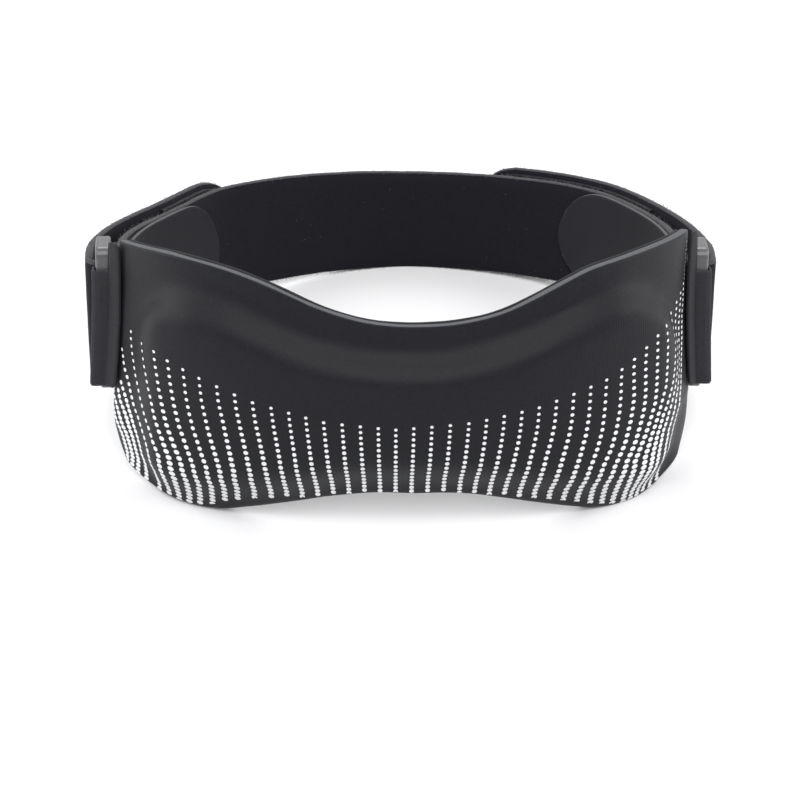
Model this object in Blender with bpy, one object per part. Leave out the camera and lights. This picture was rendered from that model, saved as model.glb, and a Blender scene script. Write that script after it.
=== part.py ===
"""Patella strap: a padded front piece, two rings and one hook-and-loop band, as a standing loop.

The loop is drawn level first, with the band's lower edge at z = 0 and the front of the pad towards -Y.
At the end the whole is tipped back on to the pad's two lobes and the rear of the band, as it rests.
All sizes are in metres.
"""
import math

import bmesh
import bpy
import numpy as np
from mathutils import Matrix

# Gap kept between pieces that lie against each other
LAYER_GAP = 0.0003

# Band
STRAP_WIDTH = 0.0300
STRAP_THICKNESS = 0.0020
BAND_LOW = 0.0
TAIL_END_ROUND = 0.0100
TAIL_RISE = 0.0018
TAIL_SETTLE = 0.0330
TAIL_LENGTH_LEFT = 0.0660
TAIL_LENGTH_RIGHT = 0.0910
FOLD_SLACK = 0.0007
FOLD_RISE_LEFT = 0.0012
FOLD_RISE_RIGHT = 0.0002

# Loop, measured to the outer face of the liner
LOOP_HALF_WIDTH = 0.0713
LOOP_DEPTH = 0.1175

# Pad, along the loop and up from the band's lower edge
PAD_LENGTH = 0.1559
PAD_SHIFT = 0.0028
PAD_TOP = 0.0418
SCOOP_DEPTH = 0.0142
PAD_DROP = 0.0264
SHELL_THICKNESS = 0.0018
BULGE_DEPTH = 0.0050
RIDGE_HEIGHT = 0.0310
RIDGE_RAMP = 0.0070
BULGE_BOTTOM_RAMP = 0.0120
BULGE_SIDE_START = 0.0052
BULGE_SIDE_RAMP = 0.0140
LOBE_TUCK = 0.0035
SIDE_FLARE = 0.0014
SIDE_FLARE_START = 0.84
SIDE_FLARE_DROP = 0.0090

# Liner and its tongues
LINER_THICKNESS = 0.0010
TONGUE_LENGTH_LEFT = 0.0720
TONGUE_LENGTH_RIGHT = 0.0820
TONGUE_TOP = 0.0300
TONGUE_BOTTOM = 0.0020
TONGUE_ROUND = 0.0140
TONGUE_TIP_SHARE = 0.08

# Rings
RING_THICKNESS = 0.0036
RING_BAR = 0.0030
RING_END_BAR = 0.0017
RING_SLOT_LENGTH = 0.0062
RING_SLOT_HEADROOM = 0.0038
RING_SLOT_ROUND = 0.0006
RING_CORNER = 0.0022
RING_BEVEL = 0.0006
RING_SETBACK = 0.0005
RING_CLEARANCE = 0.0005
RING_TURN = math.radians(4.0)
RING_LENGTH = 2 * RING_BAR + RING_SLOT_LENGTH
RING_LOW = BAND_LOW - LAYER_GAP
RING_HIGH = RING_LOW + STRAP_WIDTH + RING_SLOT_HEADROOM

# The band round each ring's rear bar
FOLD_RADIUS = RING_THICKNESS / 2 + LAYER_GAP + STRAP_THICKNESS / 2
RING_OUT = LAYER_GAP + STRAP_THICKNESS / 2 + FOLD_RADIUS + RING_CLEARANCE

# Ring tabs
TAB_THICKNESS = 0.0008
TAB_HEADROOM = 0.0035
TAB_ROUND = 0.0006
TAB_LAP = 0.0020
TAB_STEP = 0.0005
TAB_HIGH = RING_HIGH - TAB_HEADROOM

# Hook patches
HOOK_THICKNESS = 0.0012
HOOK_LENGTH_LEFT = 0.0300
HOOK_LENGTH_RIGHT = 0.0580
HOOK_MARGIN = 0.0015

# Rest: how far the soft edges that carry it are pressed flat
FLAT_DEPTH = 0.0005

# Plan of the loop from the front to the rear, as shares of LOOP_HALF_WIDTH and LOOP_DEPTH:
# left x, left y, right x, right y
PLAN_STATIONS = (
    (0.277, 0.008, 0.277, 0.008),
    (0.524, 0.040, 0.524, 0.040),
    (0.709, 0.087, 0.709, 0.087),
    (0.853, 0.151, 0.853, 0.151),
    (0.941, 0.221, 0.941, 0.221),
    (0.978, 0.296, 0.980, 0.300),
    (0.995, 0.386, 1.000, 0.400),
    (0.988, 0.468, 0.998, 0.500),
    (0.945, 0.560, 0.968, 0.605),
    (0.872, 0.650, 0.900, 0.712),
    (0.800, 0.738, 0.820, 0.804),
    (0.715, 0.825, 0.708, 0.876),
    (0.550, 0.902, 0.532, 0.938),
    (0.290, 0.972, 0.290, 0.983),
)

# Lean of the band out of upright: share of the half loop, slope on the left, slope on the right
LEAN_TABLE = (
    (0.00, 0.00, 0.00),
    (0.20, 0.00, 0.00),
    (0.36, -0.04, -0.04),
    (0.48, -0.01, -0.01),
    (0.62, 0.04, 0.02),
    (0.80, 0.15, 0.03),
    (1.00, 0.00, 0.00),
)

# Top edge of the pad: share of its half length, share of SCOOP_DEPTH left and right
SCOOP_TABLE = (
    (0.00, 1.00, 1.00),
    (0.13, 0.95, 0.96),
    (0.26, 0.75, 0.80),
    (0.39, 0.45, 0.49),
    (0.51, 0.24, 0.20),
    (0.64, 0.12, 0.08),
    (0.77, 0.10, 0.02),
    (0.90, 0.15, 0.02),
    (1.00, 0.21, 0.06),
)

# Bottom edge of the pad: share of its half length, share of PAD_DROP
HEM_TABLE = (
    (0.00, 0.600),
    (0.14, 0.605),
    (0.28, 0.680),
    (0.42, 0.785),
    (0.55, 0.880),
    (0.66, 0.940),
    (0.76, 0.950),
    (0.86, 0.910),
    (0.94, 0.820),
    (1.00, 0.700),
)

# Ends of the pad: height as a share of PAD_DROP below and of PAD_TOP above, share of its half length
END_TABLE = (
    (-1.00, 0.855),
    (-0.80, 0.945),
    (-0.60, 0.990),
    (-0.30, 1.000),
    (0.50, 1.000),
    (0.90, 1.000),
    (1.00, 0.985),
)

# Upper border of the cushion: share of the pad's half length, share of RIDGE_HEIGHT left and right
RIDGE_TABLE = (
    (0.00, 0.60, 0.60),
    (0.18, 0.64, 0.65),
    (0.34, 0.74, 0.78),
    (0.48, 0.88, 0.93),
    (0.60, 0.97, 1.02),
    (0.70, 0.97, 0.98),
    (0.78, 0.88, 0.82),
    (0.88, 0.66, 0.56),
    (1.00, 0.30, 0.25),
)

# How much the lower edge turns in, as a share of LOBE_TUCK
TUCK_TABLE = (
    (0.00, 0.90),
    (0.40, 1.00),
    (0.65, 0.70),
    (0.85, 0.10),
    (1.00, -0.40),
)

# Rounded end of a tail: shares of TAIL_END_ROUND still to go
END_SHARES = (1.0, 0.7, 0.45, 0.25, 0.1, 0.0)

# Mesh steps
SHELL_STEPS_ALONG = 52
SHELL_STEPS_UP = 18
SHELL_CROWDING = 0.8
LINER_STEPS_UP = 8
TONGUE_STEPS = 14
LOOP_SAMPLES = 1440
STRAP_STEP = 0.0045
FOLD_STEPS = 8
CORNER_STEPS = 4


def clear_scene():
    for old in list(bpy.data.objects):
        bpy.data.objects.remove(old, do_unlink=True)


def along(table, share, column=1):
    """Smooth value of a table's column; a table that starts at 0 is even about it."""
    xs = [row[0] for row in table]
    ys = [row[column] for row in table]
    if xs[0] == 0.0:
        xs = [-xs[1]] + xs
        ys = [ys[1]] + ys
    slopes = np.gradient(ys, xs)
    share = min(max(share, xs[0]), xs[-1])
    i = int(np.clip(np.searchsorted(xs, share) - 1, 0, len(xs) - 2))
    h = xs[i + 1] - xs[i]
    t = (share - xs[i]) / h
    rise = (2 * t**3 - 3 * t**2 + 1) * ys[i] + (3 * t**2 - 2 * t**3) * ys[i + 1]
    bend = (t**3 - 2 * t**2 + t) * slopes[i] + (t**3 - t**2) * slopes[i + 1]
    return rise + h * bend


def side_column(share):
    """Column of a table that holds the side a share is on: the left one or the right one."""
    return 2 if share > 0 else 1


def ease(x):
    x = min(max(x, 0.0), 1.0)
    return x * x * (3.0 - 2.0 * x)


def closed_spline(points, samples):
    """Periodic cubic spline through the points, by chord length."""
    points = np.asarray(points)
    count = len(points)
    chords = np.linalg.norm(np.roll(points, -1, axis=0) - points, axis=1)
    system = np.zeros((count, count))
    right = np.zeros((count, 2))
    for i in range(count):
        before = chords[i - 1]
        after = chords[i]
        system[i, i - 1] = before
        system[i, i] = 2.0 * (before + after)
        system[i, (i + 1) % count] = after
        ahead = (points[(i + 1) % count] - points[i]) / after
        behind = (points[i] - points[i - 1]) / before
        right[i] = 6.0 * (ahead - behind)
    bend = np.linalg.solve(system, right)
    starts = np.concatenate([[0.0], np.cumsum(chords)])
    result = []
    for t in np.linspace(0.0, starts[-1], samples, endpoint=False):
        i = int(np.searchsorted(starts, t, side="right") - 1)
        j = (i + 1) % count
        h = chords[i]
        b = (t - starts[i]) / h
        a = 1.0 - b
        curve = a * points[i] + b * points[j]
        curve = curve + ((a**3 - a) * bend[i] + (b**3 - b) * bend[j]) * h * h / 6.0
        result.append(curve)
    return np.array(result)


def plan_points():
    """The loop's stations from the front centre round by the right, the rear and the left."""
    right = [(row[2] * LOOP_HALF_WIDTH, row[3] * LOOP_DEPTH) for row in PLAN_STATIONS]
    left = [(-row[0] * LOOP_HALF_WIDTH, row[1] * LOOP_DEPTH) for row in PLAN_STATIONS]
    return [(0.0, 0.0)] + right + [(0.0, LOOP_DEPTH)] + left[::-1]


LOOP_POINTS = closed_spline(plan_points(), LOOP_SAMPLES)
LOOP_STEPS = np.linalg.norm(np.roll(LOOP_POINTS, -1, axis=0) - LOOP_POINTS, axis=1)
LOOP_ARCS = np.concatenate([[0.0], np.cumsum(LOOP_STEPS)])
LOOP_LENGTH = LOOP_ARCS[-1]
LOOP_CLOSED = np.vstack([LOOP_POINTS, LOOP_POINTS[:1]])


def loop_point(arc):
    """Plan point at a distance along the loop from the front centre, positive to the right."""
    arc = arc % LOOP_LENGTH
    return np.array([np.interp(arc, LOOP_ARCS, LOOP_CLOSED[:, k]) for k in (0, 1)])


def loop_frame(arc):
    """Point, direction of travel and outward normal of the loop in plan."""
    reach = LOOP_LENGTH / LOOP_SAMPLES * 2.0
    travel = loop_point(arc + reach) - loop_point(arc - reach)
    travel = travel / np.linalg.norm(travel)
    return loop_point(arc), travel, np.array([travel[1], -travel[0]])


def lean(arc):
    """Slope of the band at an arc: its top edge stands out and its lower edge in."""
    arc = (arc + LOOP_LENGTH / 2) % LOOP_LENGTH - LOOP_LENGTH / 2
    return along(LEAN_TABLE, abs(arc) / (LOOP_LENGTH / 2), side_column(arc))


def pad_arc(share):
    return PAD_SHIFT + share * PAD_LENGTH / 2


def tuck(arc, z):
    """How far the pad's lobes turn in under the band."""
    share = min(1.0, abs(arc - PAD_SHIFT) / (PAD_LENGTH / 2))
    return LOBE_TUCK * along(TUCK_TABLE, share) * max(0.0, -z / PAD_DROP) ** 2


def flare(arc, z):
    """How far the pad's sides stand out below the band."""
    share = abs(arc - PAD_SHIFT) / (PAD_LENGTH / 2)
    beside = ease((share - SIDE_FLARE_START) / (1.0 - SIDE_FLARE_START))
    return SIDE_FLARE * beside * ease(-z / SIDE_FLARE_DROP)


def place(arc, out, z):
    point, _, normal = loop_frame(arc)
    shift = out + (z - STRAP_WIDTH / 2) * lean(arc) - tuck(arc, z) + flare(arc, z)
    x, y = point + normal * shift
    return (x, y, z)


def make_object(name, points, faces, material, smooth_angle=40.0):
    mesh = bpy.data.meshes.new(name)
    mesh.from_pydata([tuple(p) for p in points], [], faces)
    build = bmesh.new()
    build.from_mesh(mesh)
    bmesh.ops.remove_doubles(build, verts=build.verts, dist=1e-6)
    bmesh.ops.recalc_face_normals(build, faces=build.faces)
    build.to_mesh(mesh)
    build.free()
    mesh.shade_smooth()
    mesh.set_sharp_from_angle(angle=math.radians(smooth_angle))
    mesh.materials.append(material)
    obj = bpy.data.objects.new(name, mesh)
    bpy.context.scene.collection.objects.link(obj)
    return obj


def sheet_solid(name, outer, inner, material):
    """Closed solid between two grids of points of the same shape."""
    rows, columns = len(outer), len(outer[0])
    points = [p for row in outer for p in row] + [p for row in inner for p in row]
    half = rows * columns

    def at(side, i, j):
        return side * half + i * columns + j

    faces = []
    for i in range(rows - 1):
        for j in range(columns - 1):
            faces.append((at(0, i, j), at(0, i, j + 1), at(0, i + 1, j + 1), at(0, i + 1, j)))
            faces.append((at(1, i, j), at(1, i + 1, j), at(1, i + 1, j + 1), at(1, i, j + 1)))
    for i in range(rows - 1):
        for j in (0, columns - 1):
            faces.append((at(0, i, j), at(0, i + 1, j), at(1, i + 1, j), at(1, i, j)))
    for j in range(columns - 1):
        for i in (0, rows - 1):
            faces.append((at(0, i, j), at(1, i, j), at(1, i, j + 1), at(0, i, j + 1)))
    return make_object(name, points, faces, material)


def material_of(name, colour, roughness, metallic=0.0):
    material = bpy.data.materials.new(name)
    material.use_nodes = True
    shader = material.node_tree.nodes["Principled BSDF"]
    shader.inputs["Base Color"].default_value = (*colour, 1.0)
    shader.inputs["Roughness"].default_value = roughness
    shader.inputs["Metallic"].default_value = metallic
    return material


def pad_top(share):
    return PAD_TOP - SCOOP_DEPTH * along(SCOOP_TABLE, abs(share), side_column(share))


def pad_bottom(share):
    return -PAD_DROP * along(HEM_TABLE, abs(share))


def pad_end(z):
    """Share of the pad's half length that it reaches at a height."""
    scaled = z / PAD_TOP if z > 0.0 else z / PAD_DROP
    return along(END_TABLE, scaled)


def pad_shares():
    """Even steps along the pad, drawn together towards its ends."""
    reach = math.pi / 2 * SHELL_CROWDING
    steps = [2.0 * i / SHELL_STEPS_ALONG - 1.0 for i in range(SHELL_STEPS_ALONG + 1)]
    return [math.sin(reach * step) / math.sin(reach) for step in steps]


def pad_column(share, steps):
    """Arc and height of each point up the pad at a share of its half length."""
    low = pad_bottom(share)
    high = pad_top(share)
    heights = [low + (high - low) * j / steps for j in range(steps + 1)]
    return [(pad_arc(share * (1.0 + (pad_end(z) - 1.0) * abs(share))), z) for z in heights]


def bulge(share, z):
    """How far the moulded cushion stands out of the shell, as a share of its depth."""
    ridge = RIDGE_HEIGHT * along(RIDGE_TABLE, abs(share), side_column(share))
    side = ease(((1.0 - abs(share)) * PAD_LENGTH / 2 - BULGE_SIDE_START) / BULGE_SIDE_RAMP)
    top = ease((ridge - z) / RIDGE_RAMP + 0.5)
    bottom = ease((z - pad_bottom(share)) / BULGE_BOTTOM_RAMP)
    return side * top * bottom


def front_pad():
    outer = []
    inner = []
    for share in pad_shares():
        column = pad_column(share, SHELL_STEPS_UP)
        thickness = LAYER_GAP + SHELL_THICKNESS
        outer.append([place(arc, thickness + BULGE_DEPTH * bulge(share, z), z) for arc, z in column])
        inner.append([place(arc, LAYER_GAP, z) for arc, z in column])
    return sheet_solid("front_pad", outer, inner, material_of("shell", (0.028, 0.030, 0.036), 0.62))


def tongue_span(distance, length):
    """Lower and upper edge of a tongue at a distance past the pad's end."""
    settle = ease(distance / TONGUE_ROUND)
    low = pad_bottom(1.0) + (TONGUE_BOTTOM - pad_bottom(1.0)) * settle
    high = pad_top(1.0) + (TONGUE_TOP - pad_top(1.0)) * settle
    left = max(0.0, length - distance)
    if left < TONGUE_ROUND:
        middle = (low + high) / 2
        half = (high - low) / 2
        narrowed = half * math.sqrt(max(0.0, 1.0 - (1.0 - left / TONGUE_ROUND) ** 2))
        narrowed = max(narrowed, half * TONGUE_TIP_SHARE)
        low = middle - narrowed
        high = middle + narrowed
    return low, high


def tongue_columns(side, length):
    columns = []
    for i in range(1, TONGUE_STEPS + 1):
        distance = length * math.sin(math.pi / 2 * i / TONGUE_STEPS)
        low, high = tongue_span(distance, length)
        heights = [low + (high - low) * j / LINER_STEPS_UP for j in range(LINER_STEPS_UP + 1)]
        settle = ease(distance / TONGUE_ROUND)
        ends = [pad_arc(side * pad_end(z)) for z in heights]
        columns.append([
            (end + (pad_arc(side) - end) * settle + side * distance, z) for end, z in zip(ends, heights)
        ])
    return columns


def inner_liner():
    middle = [pad_column(share, LINER_STEPS_UP) for share in pad_shares()]
    left = tongue_columns(-1, TONGUE_LENGTH_LEFT)
    right = tongue_columns(1, TONGUE_LENGTH_RIGHT)
    columns = left[::-1] + middle + right
    outer = [[place(arc, 0.0, z) for arc, z in column] for column in columns]
    inner = [[place(arc, -LINER_THICKNESS, z) for arc, z in column] for column in columns]
    return sheet_solid("inner_liner", outer, inner, material_of("lining", (0.018, 0.018, 0.022), 0.55))


class RingSeat:
    """Place of one ring: its middle, its direction away from the pad and its outward direction in plan."""

    def __init__(self, side, rise):
        self.side = side
        self.rise = rise
        self.pad_end = pad_arc(side)
        self.arc = self.pad_end + side * (RING_SETBACK + RING_LENGTH / 2)
        self.tail_start = self.arc + side * (RING_LENGTH / 2 + STRAP_STEP)
        point, travel, normal = loop_frame(self.arc)
        turn = side * RING_TURN
        turned = np.array([
            travel[0] * math.cos(turn) - travel[1] * math.sin(turn),
            travel[0] * math.sin(turn) + travel[1] * math.cos(turn),
        ])
        self.ahead = turned * side
        self.outward = np.array([turned[1], -turned[0]])
        self.middle = point + normal * RING_OUT
        self.slope = lean(self.arc)

    def band_rise(self, distance):
        """Height of the band's lower edge where it nears the ring, at a distance behind it."""
        return self.rise * (1.0 - ease(distance / TAIL_SETTLE))

    def plan(self, a, b):
        """Plan point at a distance away from the pad and outward, both from the ring's middle."""
        return self.middle + self.ahead * a + self.outward * b

    def point(self, a, b, z):
        x, y = self.plan(a, b + (z - STRAP_WIDTH / 2) * self.slope)
        return (x, y, z)


def rounded_rectangle(half_length, low, high, radius):
    """Outline in the ring's plane, corner by corner."""
    outline = []
    for quarter, (a, z) in enumerate((
        (half_length - radius, high - radius),
        (-half_length + radius, high - radius),
        (-half_length + radius, low + radius),
        (half_length - radius, low + radius),
    )):
        for step in range(CORNER_STEPS + 1):
            angle = math.pi / 2 * (quarter + step / CORNER_STEPS)
            outline.append((a + radius * math.cos(angle), z + radius * math.sin(angle)))
    return outline


def ring(name, seat, material):
    """Flat plastic loop with a slot, its front bar towards the pad."""
    outer = rounded_rectangle(RING_LENGTH / 2, RING_LOW - RING_END_BAR, RING_HIGH + RING_END_BAR, RING_CORNER)
    inner = rounded_rectangle(RING_SLOT_LENGTH / 2, RING_LOW, RING_HIGH, RING_SLOT_ROUND)
    count = len(outer)
    points = []
    for b in (-RING_THICKNESS / 2, RING_THICKNESS / 2):
        for outline in (outer, inner):
            points += [seat.point(a, b, z + seat.rise) for a, z in outline]
    faces = []
    for i in range(count):
        j = (i + 1) % count
        faces.append((i, j, count + j, count + i))
        faces.append((2 * count + i, 3 * count + i, 3 * count + j, 2 * count + j))
        faces.append((i, 2 * count + i, 2 * count + j, j))
        faces.append((count + i, count + j, 3 * count + j, 3 * count + i))
    obj = make_object(name, points, faces, material)
    bevel = obj.modifiers.new("edges", "BEVEL")
    bevel.width = RING_BEVEL
    bevel.segments = 2
    bevel.limit_method = "ANGLE"
    bevel.angle_limit = math.radians(50.0)
    return obj


def ribbon(name, stations, thickness, material):
    """Closed solid band. A station is a plan point, a lean per metre of height, and low and high edges."""
    plan = np.array([station[0] for station in stations])
    travel = np.gradient(plan, axis=0)
    travel = travel / np.linalg.norm(travel, axis=1)[:, None]
    outer = []
    inner = []
    for (point, slant, low, high), (tx, ty) in zip(stations, travel):
        across = np.array([ty, -tx]) * thickness / 2
        outer.append([])
        inner.append([])
        for z in (low, (low + high) / 2, high):
            shifted = point + slant * (z - STRAP_WIDTH / 2)
            outer[-1].append((*(shifted + across), z))
            inner[-1].append((*(shifted - across), z))
    return sheet_solid(name, outer, inner, material)


def tail_offset(distance):
    """Offset of a tail's middle plane from the loop, falling from the ring to the band behind it."""
    settled = STRAP_THICKNESS * 1.5 + HOOK_THICKNESS + LAYER_GAP * 3
    start = RING_OUT + FOLD_RADIUS + FOLD_SLACK
    return start + (settled - start) * ease(distance / TAIL_SETTLE)


def round_end(low, high, left):
    """Edges of a band narrowed by its rounded end, at a distance from that end."""
    if left >= TAIL_END_ROUND:
        return low, high
    cut = TAIL_END_ROUND - math.sqrt(max(0.0, TAIL_END_ROUND**2 - (TAIL_END_ROUND - left) ** 2))
    return low + cut, high - cut


def tail_station(seat, length, distance, offset, margin):
    """One station of a tail or of the patch on it, at a distance from the tail's start."""
    arc = seat.tail_start + seat.side * distance
    point, _, normal = loop_frame(arc)
    rise = TAIL_RISE * ease(distance / TAIL_SETTLE) + seat.band_rise(distance)
    low, high = round_end(BAND_LOW + rise, BAND_LOW + STRAP_WIDTH + rise, length - distance)
    return (point + normal * offset, normal * lean(arc), low + margin, high - margin)


def tail_stations(seat, length):
    """Outer layer from the ring to the tail's rounded end."""
    distances = list(np.arange(0.0, length - TAIL_END_ROUND, STRAP_STEP))
    distances += [length - TAIL_END_ROUND * share for share in END_SHARES]
    return [tail_station(seat, length, d, tail_offset(d), 0.0) for d in distances]


def fold_stations(seat):
    """Round the ring's rear bar, from the outer layer to the inner one."""
    bar = RING_LENGTH / 2 - RING_BAR
    middle = RING_LENGTH / 2 - RING_BAR / 2
    slant = seat.outward * seat.slope
    points = [seat.plan(middle, FOLD_RADIUS + FOLD_SLACK)]
    for step in range(FOLD_STEPS + 1):
        angle = math.pi / 2 + math.pi * step / FOLD_STEPS
        slack = FOLD_SLACK * max(0.0, math.sin(angle))
        points.append(seat.plan(bar + FOLD_RADIUS * math.cos(angle), FOLD_RADIUS * math.sin(angle) + slack))
    points.append(seat.plan(middle, -FOLD_RADIUS))
    low = BAND_LOW + seat.rise
    return [(point, slant, low, low + STRAP_WIDTH) for point in points]


def strap(seats, lengths, material):
    """Left tail, left fold, the band round the rear, right fold and right tail."""
    stations = tail_stations(seats[0], lengths[0])[::-1] + fold_stations(seats[0])
    first = seats[0].tail_start
    span = LOOP_LENGTH - (seats[1].tail_start - first)
    steps = int(round(span / STRAP_STEP))
    offset = LAYER_GAP + STRAP_THICKNESS / 2
    for step in range(steps + 1):
        arc = first - span * step / steps
        point, _, normal = loop_frame(arc)
        rise = seats[0].band_rise(first - arc) + seats[1].band_rise(span - first + arc)
        low = BAND_LOW + rise
        stations.append((point + normal * offset, normal * lean(arc), low, low + STRAP_WIDTH))
    stations += fold_stations(seats[1])[::-1] + tail_stations(seats[1], lengths[1])
    return ribbon("strap", stations, STRAP_THICKNESS, material)


def hook_patch(name, seat, tail_length, length, material):
    """Thin plate of hooks on a tail's inner face, close to its end."""
    first = tail_length - HOOK_MARGIN - length
    steps = max(4, int(round(length / STRAP_STEP)))
    inset = STRAP_THICKNESS / 2 + LAYER_GAP + HOOK_THICKNESS / 2
    stations = []
    for step in range(steps + 1):
        distance = first + length * step / steps
        offset = tail_offset(distance) - inset
        stations.append(tail_station(seat, tail_length, distance, offset, HOOK_MARGIN))
    return ribbon(name, stations, HOOK_THICKNESS, material)


def ring_tab(name, seat, material):
    """Strip from the shell's outer face, over and round the ring's front bar, to the bar's inner side."""
    reach = RING_THICKNESS / 2 + LAYER_GAP + TAB_THICKNESS / 2
    front = -RING_LENGTH / 2 - LAYER_GAP - TAB_THICKNESS / 2
    back = -RING_LENGTH / 2 + RING_BAR + LAYER_GAP + TAB_THICKNESS / 2
    radius = LAYER_GAP + TAB_THICKNESS / 2 + TAB_ROUND
    shoulder = reach - LAYER_GAP - TAB_ROUND
    point, _, normal = loop_frame(seat.pad_end - seat.side * TAB_LAP)
    on_shell = point + normal * (2 * LAYER_GAP + SHELL_THICKNESS + TAB_THICKNESS / 2)
    lap = [on_shell, seat.plan(front, -shoulder)]
    path = [seat.plan(front, TAB_STEP - shoulder), seat.plan(front, shoulder)]
    path.append(seat.plan(front + TAB_ROUND, reach))
    for sign in (1, -1):
        corner = []
        for step in range(CORNER_STEPS + 1):
            angle = math.pi / 2 * step / CORNER_STEPS
            a = back - radius + radius * math.sin(angle)
            b = sign * (reach - radius + radius * math.cos(angle))
            corner.append(seat.plan(a, b))
        path += corner[::sign]
    path.append(seat.plan(TAB_ROUND - RING_LENGTH / 2, -reach))
    slant = seat.outward * seat.slope
    low = BAND_LOW + seat.rise
    stations = [(point, slant, low, pad_top(seat.side) - LAYER_GAP) for point in lap]
    stations += [(point, slant, low, TAB_HIGH + seat.rise) for point in path]
    return ribbon(name, stations, TAB_THICKNESS, material)


def lower_hull(points):
    """Lower convex hull of (y, z) points, from the front to the rear."""
    hull = []
    for p in sorted(points):
        while len(hull) > 1:
            (ay, az), (by, bz) = hull[-2], hull[-1]
            if (by - ay) * (p[1] - az) - (bz - az) * (p[0] - ay) > 0.0:
                break
            hull.pop()
        hull.append(p)
    return hull


def rest_matrix(objects):
    """Tip the level loop back on to the lobes and the rear of the band, sunk by FLAT_DEPTH, and centre it."""
    points = [obj.matrix_world @ v.co for obj in objects for v in obj.data.vertices]
    hull = lower_hull([(p.y, p.z) for p in points])
    middle = LOOP_DEPTH / 2
    edge = next((a, b) for a, b in zip(hull, hull[1:]) if a[0] <= middle <= b[0])
    tilt = math.atan2(edge[1][1] - edge[0][1], edge[1][0] - edge[0][0])
    turn = Matrix.Rotation(-tilt, 4, "X")
    turned = [turn @ p for p in points]
    low = min(p.z for p in turned) + FLAT_DEPTH
    centre = [(min(p[k] for p in turned) + max(p[k] for p in turned)) / 2 for k in (0, 1)]
    return Matrix.Translation((-centre[0], -centre[1], -low)) @ turn


def settle(objects, matrix):
    """Move the loop to its rest and press flat what would reach below the surface."""
    for obj in objects:
        obj.data.transform(matrix)
        for vertex in obj.data.vertices:
            vertex.co.z = max(vertex.co.z, 0.0)
        obj.data.update()


clear_scene()
SEATS = (RingSeat(-1, FOLD_RISE_LEFT), RingSeat(1, FOLD_RISE_RIGHT))
plastic = material_of("plastic", (0.10, 0.10, 0.11), 0.3)
webbing = material_of("webbing", (0.02, 0.02, 0.024), 0.9)
hook = material_of("hook", (0.012, 0.012, 0.014), 0.6)
tab = material_of("tab", (0.05, 0.05, 0.055), 0.7)
PIECES = [front_pad(), inner_liner(), strap(SEATS, (TAIL_LENGTH_LEFT, TAIL_LENGTH_RIGHT), webbing)]
for word, seat, tail, length in (
    ("left", SEATS[0], TAIL_LENGTH_LEFT, HOOK_LENGTH_LEFT),
    ("right", SEATS[1], TAIL_LENGTH_RIGHT, HOOK_LENGTH_RIGHT),
):
    PIECES.append(ring("ring_" + word, seat, plastic))
    PIECES.append(ring_tab("ring_tab_" + word, seat, tab))
    PIECES.append(hook_patch("hook_patch_" + word, seat, tail, length, hook))
REST_MATRIX = rest_matrix(PIECES)
settle(PIECES, REST_MATRIX)
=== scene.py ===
"""Looks of the patella strap at rest.

It is a moulded black pad with printed dots, two plastic loops and a band with a pile.
The strap rests tipped back. Cloth is worked out in a level frame of its own, in which the band stands upright
with its lower edge at z = 0 and the front of the pad towards -Y. All sizes are in metres.
"""
import math

import bmesh
import bpy
import numpy as np
from mathutils import Matrix, Vector, noise
from mathutils.bvhtree import BVHTree


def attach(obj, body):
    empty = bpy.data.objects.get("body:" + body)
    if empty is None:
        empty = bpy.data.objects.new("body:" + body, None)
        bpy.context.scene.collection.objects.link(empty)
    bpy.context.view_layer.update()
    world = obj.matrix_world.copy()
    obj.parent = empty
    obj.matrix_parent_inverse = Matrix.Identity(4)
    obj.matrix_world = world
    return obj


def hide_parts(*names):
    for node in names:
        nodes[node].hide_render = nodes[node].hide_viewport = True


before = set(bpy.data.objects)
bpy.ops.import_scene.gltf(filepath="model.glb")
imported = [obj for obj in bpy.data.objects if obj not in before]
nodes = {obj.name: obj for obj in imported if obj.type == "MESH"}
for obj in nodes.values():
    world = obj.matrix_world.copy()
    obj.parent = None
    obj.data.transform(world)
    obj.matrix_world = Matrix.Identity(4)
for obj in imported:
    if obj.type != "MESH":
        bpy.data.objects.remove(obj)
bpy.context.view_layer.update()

# Level frame and camera.
# The photo was taken from the front, a little above the pad, with a lens of about 66 mm.
# The camera is placed in the level frame and tips back with the strap.
REST_TURN = math.radians(-13.39)
LEVEL_ORIGIN = Vector((-0.0002, -0.0581, 0.0272))
CAMERA_PLACE = Vector((0.0, -0.3143, 0.1513))
CAMERA_PITCH = math.radians(24.45)
CAMERA_ROLL = math.radians(0.4)
CAMERA_LENS = 66.33
CAMERA_SENSOR = 36.0
TO_ROW = Matrix.Translation(LEVEL_ORIGIN) @ Matrix.Rotation(REST_TURN, 4, "X")
TO_LEVEL = TO_ROW.inverted()
camera_data = bpy.data.cameras.new("camera")
camera_data.lens = CAMERA_LENS
camera_data.sensor_width = CAMERA_SENSOR
camera_data.clip_start = 0.01
camera = bpy.data.objects.new("camera", camera_data)
bpy.context.scene.collection.objects.link(camera)
aim = Matrix.Rotation(math.pi / 2 - CAMERA_PITCH, 4, "X") @ Matrix.Rotation(CAMERA_ROLL, 4, "Z")
camera.matrix_world = TO_ROW @ Matrix.Translation(CAMERA_PLACE) @ aim
bpy.context.scene.camera = camera

# Plan of the loop.
# The lining lies against the leg all the way round the pad, so its points give the front of the loop,
# and the band gives the rear. Distances round the loop are read off by the angle about the loop's middle.
WELD = 1e-5
LOOP_MIDDLE = Vector((0.0, 0.0560))
BAND_WIDTH = 0.0300
# The plan is taken between these shares of the band's height, in even steps of the angle, and evened out
PLAN_LOW_SHARE = 0.2
PLAN_HIGH_SHARE = 0.8
PLAN_BANDS = 180
PLAN_KERNEL = (1.0, 2.0, 3.0, 2.0, 1.0)
PLAN_TANGENT_STEPS = 2


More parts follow.
